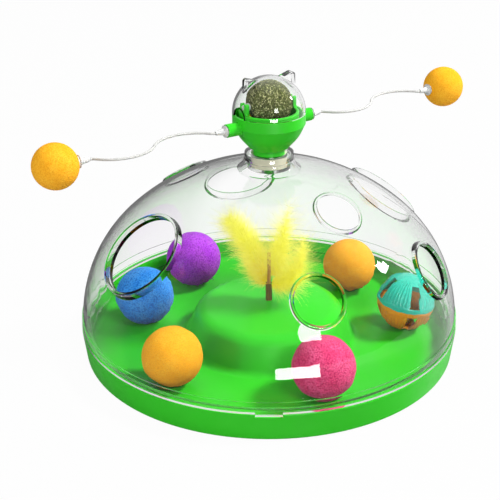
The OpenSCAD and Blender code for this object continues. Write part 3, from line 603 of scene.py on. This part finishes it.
def buildArmWire(node):
    spin = Matrix.Rotation(math.radians(armWire["azimuth"][node]), 3, "Z")
    along = spin @ Vector((1, 0, 0))
    reach = [corner.co.dot(along) for corner in cadNodes[node].data.vertices]
    low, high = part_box(node)
    height = (low.z + high.z) / 2
    path = wirePath(min(reach), max(reach))
    curve = bpy.data.curves.new(node + "_bent", "CURVE")
    curve.dimensions = "3D"
    curve.bevel_depth = armWire["radius"]
    curve.bevel_resolution = armWire["roundness"]
    curve.use_fill_caps = True
    spline = curve.splines.new("POLY")
    spline.points.add(len(path) - 1)
    for point, (x, y) in zip(spline.points, path):
        point.co = (*(spin @ Vector((x, y, 0)) + Vector((0, 0, height))), 1)
    wire = bpy.data.objects.new(node + "_bent", curve)
    bpy.context.collection.objects.link(wire)
    makeActive(wire)
    bpy.ops.object.convert(target="MESH")
    wire = bpy.context.active_object
    smoothByAngle(wire, armWire["creaseAngle"])
    standFor(wire, node, wireCoat)


for node in armWire["azimuth"]:
    buildArmWire(node)
print("arm wires made")

# Bell ball: ridged half shells with windows through a real wall

bellBall = {
    "finish": {"bell_ball_upper": tealPlastic, "bell_ball_lower": amberPlastic},
    "wall": 1.6 * mm,
    "segments": 360,
    "rings": 120,
    "windows": 4,
    "windowTurn": -79,
    "windowHalf": 12.5,
    "windowSpan": (9.5, 57),
    "ridgePitch": 7.5,
    "ridgeHeight": 0.5 * mm,
    "ridgeSpan": (8, 70),
    "ridgeFade": 5,
    "barFade": 2,
    "crownFrom": 40,
    "crownHeight": 0.5,
    "lean": 9,
    "creaseAngle": 40,
}


def fade(value, low, high, width):
    return max(0.0, min(1.0, (value - low) / width, (high - value) / width))


def windowOffset(azimuth):  # degrees from the middle of the nearest window
    pitch = 360 / bellBall["windows"]
    return abs((azimuth - bellBall["windowTurn"] + pitch / 2) % pitch - pitch / 2)


def buildBellHalf(node, side):
    low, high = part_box("bell_ball_lower")
    radius = (high.y - low.y) / 2
    centre = Vector(((low.x + high.x) / 2, (low.y + high.y) / 2, low.z + radius))
    half = addPiece(bpy.ops.mesh.primitive_uv_sphere_add, node + "_ridged",
                    segments=bellBall["segments"], ring_count=bellBall["rings"],
                    radius=radius - bellBall["ridgeHeight"])
    editAll(half)
    bpy.ops.mesh.bisect(plane_co=(0, 0, 0), plane_no=(0, 0, side), clear_inner=True)
    leaveEdit()
    for corner in half.data.vertices:
        azimuth = math.degrees(math.atan2(corner.co.y, corner.co.x))
        latitude = math.degrees(math.asin(min(1.0, abs(corner.co.z) / corner.co.length)))
        panel = 180 / bellBall["windows"] - windowOffset(azimuth)
        wave = 0.5 - 0.5 * math.cos(math.radians(panel) * 360 / bellBall["ridgePitch"])
        share = fade(latitude, *bellBall["ridgeSpan"], bellBall["ridgeFade"])
        rim = (1 - share) * (1 if latitude < bellBall["crownFrom"] else bellBall["crownHeight"])
        beside = (windowOffset(azimuth) - bellBall["windowHalf"]) / bellBall["barFade"]
        bar = min(1.0, max(0.0, beside))
        corner.co *= 1 + bellBall["ridgeHeight"] * max(rim, share * bar * wave) / corner.co.length
    lowEdge, highEdge = bellBall["windowSpan"]
    editAll(half)
    bpy.ops.mesh.select_all(action="DESELECT")
    leaveEdit()
    for face in half.data.polygons:
        spot = face.center.normalized()
        latitude = math.degrees(math.asin(abs(spot.z)))
        azimuth = math.degrees(math.atan2(spot.y, spot.x))
        face.select = lowEdge < latitude < highEdge and windowOffset(azimuth) < bellBall["windowHalf"]
    bpy.ops.object.mode_set(mode="EDIT")
    bpy.ops.mesh.delete(type="FACE")
    leaveEdit()
    wall = half.modifiers.new("wall", "SOLIDIFY")
    wall.thickness = bellBall["wall"]
    wall.offset = -1
    applyModifiers(half)
    half.rotation_euler = (0, math.radians(bellBall["lean"]), 0)
    half.location = centre
    settle(half)
    smoothByAngle(half, bellBall["creaseAngle"])
    standFor(half, node, bellBall["finish"][node])


buildBellHalf("bell_ball_upper", 1)
buildBellHalf("bell_ball_lower", -1)
print("bell ball made")

# Feather: soft barbs on a bent quill, one piece for each plume

plumes = {
    "plume_left": {"foot": (-2.2, 0, 45.7), "bow": (-9, 0, 70.7), "tip": (-33, 0, 99.5),
                   "span": 0.9, "reach": 12.5, "lengths": (0.7, 1.1), "barbs": 8500, "thinning": 1.2,
                   "pale": 0.0, "seed": 21},
    "plume_right": {"foot": (2.2, 0, 49.7), "bow": (9, 0, 70.7), "tip": (15, 0, 110.7),
                    "span": 1.0, "reach": 15, "lengths": (0.35, 1.2), "barbs": 6000, "thinning": 2.7,
                    "pale": 0.2, "seed": 22},
    "plume_front": {"foot": (0, -2.2, 44.7), "bow": (22, -8.8, 42.7), "tip": (24, -11.4, 86.7),
                    "span": 1.0, "reach": 13, "lengths": (0.35, 1.2), "barbs": 6500, "thinning": 1.8,
                    "pale": 0.2, "seed": 23},
    "plume_rear": {"foot": (0, 2.2, 44.7), "bow": (-16, 8.8, 42.7), "tip": (-14, 11.4, 78.7),
                   "span": 1.0, "reach": 9, "lengths": (0.35, 1.2), "barbs": 5500, "thinning": 1.6,
                   "pale": 0.1, "seed": 24},
}
barb = {
    "width": 0.17 * mm,
    "taper": 0.7,
    "steps": 4,
    "lean": (0.2, 1.3),
    "curl": 0.45,
    "spread": 0.8,
    "mottle": 0.12,
    "bendRoom": 1.3,
    "shortBias": 1.5,
    "swell": {"least": 0.4, "start": 0.1, "run": 0.82, "power": 0.6},
    "parting": {"half": 2.2 * mm, "front": -0.8 * mm, "foot": 42 * mm, "top": 68 * mm},
    "ceiling": 113 * mm,
}


def quillAt(plume, share):
    foot, bow, tip = (Vector(plume[key]) * mm for key in ("foot", "bow", "tip"))
    place = foot * (1 - share) ** 2 + bow * 2 * share * (1 - share) + tip * share ** 2
    heading = ((bow - foot) * (1 - share) + (tip - bow) * share).normalized()
    return place, heading


def barbPoints(plume, share, draw):  # one thin ribbon from the quill outwards, bent towards the tip
    root, heading = quillAt(plume, share)
    sideways = heading.cross(Vector((0, 1, 0))).normalized()
    turn = draw.gauss(0, barb["spread"]) + (math.pi if draw.random() < 0.5 else 0)
    out = Matrix.Rotation(turn, 3, heading) @ sideways
    swell = barb["swell"]
    full = math.sin(math.pi * (swell["start"] + swell["run"] * share)) ** swell["power"]
    size = swell["least"] + (1 - swell["least"]) * full
    shortest, longest = plume["lengths"]
    size *= shortest + (longest - shortest) * draw.random() ** barb["shortBias"]
    length = plume["reach"] * mm * size
    lean = heading * draw.uniform(*barb["lean"])
    curl = Vector([draw.gauss(0, barb["curl"]) for _ in range(3)])
    edge = Matrix.Rotation(draw.uniform(0, math.pi), 3, out) @ out.cross(heading).normalized()
    points = []
    for step in range(barb["steps"] + 1):
        along = step / barb["steps"]
        spot = root + (out * along + (lean + curl) * along * along) * length / barb["bendRoom"]
        wide = edge * barb["width"] / 2 * (1 - barb["taper"] * along)
        points += [spot - wide, spot + wide]
    return points


def hidesStem(points):  # the barbs part in front of the stem, less and less towards its top
    gap = barb["parting"]
    for spot in points:
        share = (gap["top"] - spot.z) / (gap["top"] - gap["foot"])
        if spot.y < gap["front"] and abs(spot.x) < gap["half"] * min(1.0, share):
            return True
    return False


def reachesNeck(points):  # room under the dome's neck for the feather's pull
    return any(spot.z > barb["ceiling"] for spot in points)


def buildPlume(node):
    plume = plumes[node]
    draw = random.Random(plume["seed"])
    points, faces, strands = [], [], []
    for _ in range(plume["barbs"]):
        start = len(points)
        share = plume["span"] * (1 - draw.random() ** (1 / plume["thinning"]))
        ribbon = barbPoints(plume, share, draw)
        if hidesStem(ribbon) or reachesNeck(ribbon):
            continue
        points += ribbon
        tone = min(1.0, max(0.0, share + plume["pale"] + draw.gauss(0, barb["mottle"])))
        for step in range(barb["steps"] + 1):
            strands += [(step / barb["steps"], tone)] * 2
        for corner in range(start, start + 2 * barb["steps"], 2):
            faces.append((corner, corner + 1, corner + 3, corner + 2))
    piece = newMesh(node + "_down", points, faces)
    layer = piece.data.uv_layers.new(name="strand")
    for loop in piece.data.loops:
        layer.data[loop.index].uv = strands[loop.vertex_index]
    bpy.ops.object.shade_smooth()
    standFor(piece, node, featherYellow)


for node in plumes:
    buildPlume(node)
print("feather made")


# Studio: white floor, soft lamps, the photograph's camera

studio = {
    "floorSize": 8.0,
    "worldLight": 0.2,
    "ceilingGrey": 0.22,
    "mirrorBelow": 0.08,
    "mirrorAbove": 0.28,
    "mirrorBack": 0.9,
    "mirrorBackLow": 0.2,
    "mirrorCrown": 0.7,
    "skySpan": (0.25, 0.75),
    "frontSpan": (-0.1, 0.35),
    "behindSpan": (0.0, 0.4),
    "backSpan": (-0.1, 0.3),
    "backLean": 1.4,
    "backFloor": (0.6, 1.5),
    "floorLean": 4.0,
    "crownSpan": (0.93, 0.99),
    "floorGlow": 0.97,
    "floorGrey": 0.5,
    "aim": Vector((0, 0, 0.06)),
    "softLamps": {
        "keyRight": {"azimuth": 4, "elevation": 47, "distance": 2.4,
                     "size": (0.5, 0.4), "power": 62},
        "backTop": {"azimuth": 92, "elevation": 58, "distance": 2.4,
                    "size": (1.2, 0.8), "power": 10},
        "frontRight": {"azimuth": -60, "elevation": 38, "distance": 2.4,
                       "size": (0.7, 0.5), "power": 22.5},
        "leftFill": {"azimuth": 215, "elevation": 20, "distance": 2.4,
                     "size": (1.0, 0.8), "power": 19},
    },
    "glintLamps": {
        "rightPane": {"azimuth": 8, "elevation": 35.5, "distance": 1.2,
                      "size": (0.13, 0.16), "power": 1.8},
        "frontPane": {"azimuth": -66, "elevation": 24, "distance": 1.2,
                      "size": (0.25, 0.22), "power": 4.0},
        "lowPane": {"azimuth": -75, "elevation": -3.2, "distance": 0.9,
                    "size": (0.37, 0.14), "power": 4.2},
    },
}


def seenOrMirrored(tree):  # 1 for what the eye sees straight, in gloss or through glass
    ways = tree.nodes.new("ShaderNodeLightPath")
    total = None
    for way in ("Is Camera Ray", "Is Glossy Ray", "Is Transmission Ray"):
        if total is None:
            total = ways.outputs[way]
            continue
        either = addNode(tree, "ShaderNodeMath", operation="MAXIMUM")
        tree.links.new(total, either.inputs[0])
        tree.links.new(ways.outputs[way], either.inputs[1])
        total = either.outputs[0]
    return total


def mirroredOnTheWay(tree):  # 1 once a ray was mirrored, also after it left the glass again
    once = addNode(tree, "ShaderNodeMath", operation="MINIMUM")
    once.inputs[1].default_value = 1.0
    tree.links.new(tree.nodes.new("ShaderNodeLightPath").outputs["Glossy Depth"], once.inputs[0])
    return once.outputs[0]


def leanRight(tree, way, main, lean):  # the mirrored backdrop is whiter towards the right
    total = addNode(tree, "ShaderNodeMath", operation="MULTIPLY_ADD")
    total.inputs[1].default_value = lean
    tree.links.new(way.outputs["X"], total.inputs[0])
    tree.links.new(way.outputs[main], total.inputs[2])
    return total.outputs[0]


def buildWorld():
    world = bpy.data.worlds.new("studioWorld")
    bpy.context.scene.world = world
    world.use_nodes = True
    tree = world.node_tree
    light = setInputs(tree.nodes["Background"], {"Color": greyTone(1.0), "Strength": studio["worldLight"]})
    seen = setInputs(tree.nodes.new("ShaderNodeBackground"), {"Strength": 1.0})
    way = tree.nodes.new("ShaderNodeSeparateXYZ")
    tree.links.new(tree.nodes.new("ShaderNodeTexCoord").outputs["Object"], way.inputs[0])
    up = way.outputs["Z"]
    height = mapRange(tree, up, 0.0, 1.0, *studio["skySpan"])
    sky = mixColour(tree, height, greyTone(1.0), greyTone(studio["ceilingGrey"]))
    front = mapRange(tree, up, studio["mirrorBelow"], studio["mirrorAbove"], *studio["frontSpan"])
    rise = leanRight(tree, way, "Z", studio["backLean"])
    back = mapRange(tree, rise, studio["mirrorBackLow"], studio["mirrorBack"], *studio["backSpan"])
    behind = mapRange(tree, way.outputs["Y"], 0.0, 1.0, *studio["behindSpan"])
    crown = mapRange(tree, up, 0.0, 1.0, *studio["crownSpan"])
    walls = mixColour(tree, behind, front, back)
    mirrored = mixColour(tree, crown, walls, greyTone(studio["mirrorCrown"]))
    tree.links.new(mixColour(tree, mirroredOnTheWay(tree), sky, mirrored), seen.inputs["Color"])
    mix = tree.nodes.new("ShaderNodeMixShader")
    tree.links.new(seenOrMirrored(tree), mix.inputs[0])
    tree.links.new(light.outputs[0], mix.inputs[1])
    tree.links.new(seen.outputs[0], mix.inputs[2])
    tree.links.new(mix.outputs[0], tree.nodes["World Output"].inputs["Surface"])


def buildFloor():
    floor = addPiece(bpy.ops.mesh.primitive_plane_add, "studioFloor", size=studio["floorSize"])
    material, tree, shader = newMaterial("floorWhite", {"Base Color": greyTone(studio["floorGrey"]),
                                                        "Roughness": 0.9, "Specular IOR Level": 0.0})
    glow = setInputs(tree.nodes.new("ShaderNodeEmission"), {"Strength": 1.0})
    place = tree.nodes.new("ShaderNodeSeparateXYZ")
    tree.links.new(tree.nodes.new("ShaderNodeTexCoord").outputs["Object"], place.inputs[0])
    depth = leanRight(tree, place, "Y", studio["floorLean"])
    low, back = studio["mirrorBackLow"], studio["mirrorBack"]
    mirrored = mapRange(tree, depth, low, back, *studio["backFloor"])
    white = mixColour(tree, mirroredOnTheWay(tree), greyTone(1.0), mirrored)
    tree.links.new(white, glow.inputs["Color"])
    share = addNode(tree, "ShaderNodeMath", operation="MULTIPLY")
    share.inputs[1].default_value = studio["floorGlow"]
    tree.links.new(seenOrMirrored(tree), share.inputs[0])
    mix = tree.nodes.new("ShaderNodeMixShader")
    tree.links.new(share.outputs[0], mix.inputs[0])
    tree.links.new(shader.outputs[0], mix.inputs[1])
    tree.links.new(glow.outputs[0], mix.inputs[2])
    tree.links.new(mix.outputs[0], tree.nodes["Material Output"].inputs["Surface"])
    floor.data.materials.append(material)
    floor.visible_glossy = False


def buildLamp(name, lamp, glint):  # a soft lamp lights the surfaces, a glint only shows in the gloss
    azimuth, elevation = math.radians(lamp["azimuth"]), math.radians(lamp["elevation"])
    level = Vector((math.cos(azimuth), math.sin(azimuth), 0))
    way = level * math.cos(elevation) + Vector((0, 0, math.sin(elevation)))
    deselectAll()
    bpy.ops.object.light_add(type="AREA", location=studio["aim"] + way * lamp["distance"])
    light = bpy.context.active_object
    light.name = name
    light.rotation_euler = way.to_track_quat("Z", "Y").to_euler()
    light.data.shape = "RECTANGLE"
    light.data.size, light.data.size_y = lamp["size"]
    light.data.energy = lamp["power"]
    light.visible_camera = light.visible_transmission = False
    light.visible_diffuse = not glint
    light.visible_glossy = glint


camera = {
    "place": (0, -0.699393, 0.394958),
    "pitch": 24.9705,
    "focalPixels": 1105.573,
    "axisPixel": 269,
    "imageWidth": 500,
    "sensor": 36.0,
    "clipStart": 0.01,
}


def buildCamera():
    deselectAll()
    turn = (math.radians(90 - camera["pitch"]), 0, 0)
    bpy.ops.object.camera_add(location=camera["place"], rotation=turn)
    view = bpy.context.active_object
    view.data.sensor_width = camera["sensor"]
    view.data.lens = camera["focalPixels"] * camera["sensor"] / camera["imageWidth"]
    view.data.shift_x = (camera["imageWidth"] / 2 - camera["axisPixel"]) / camera["imageWidth"]
    view.data.clip_start = camera["clipStart"]
    bpy.context.scene.camera = view


buildWorld()
buildFloor()
for name, lamp in studio["softLamps"].items():
    buildLamp(name, lamp, glint=False)
for name, lamp in studio["glintLamps"].items():
    buildLamp(name, lamp, glint=True)
buildCamera()
bpy.context.scene.view_settings.view_transform = "Standard"
print("studio set")
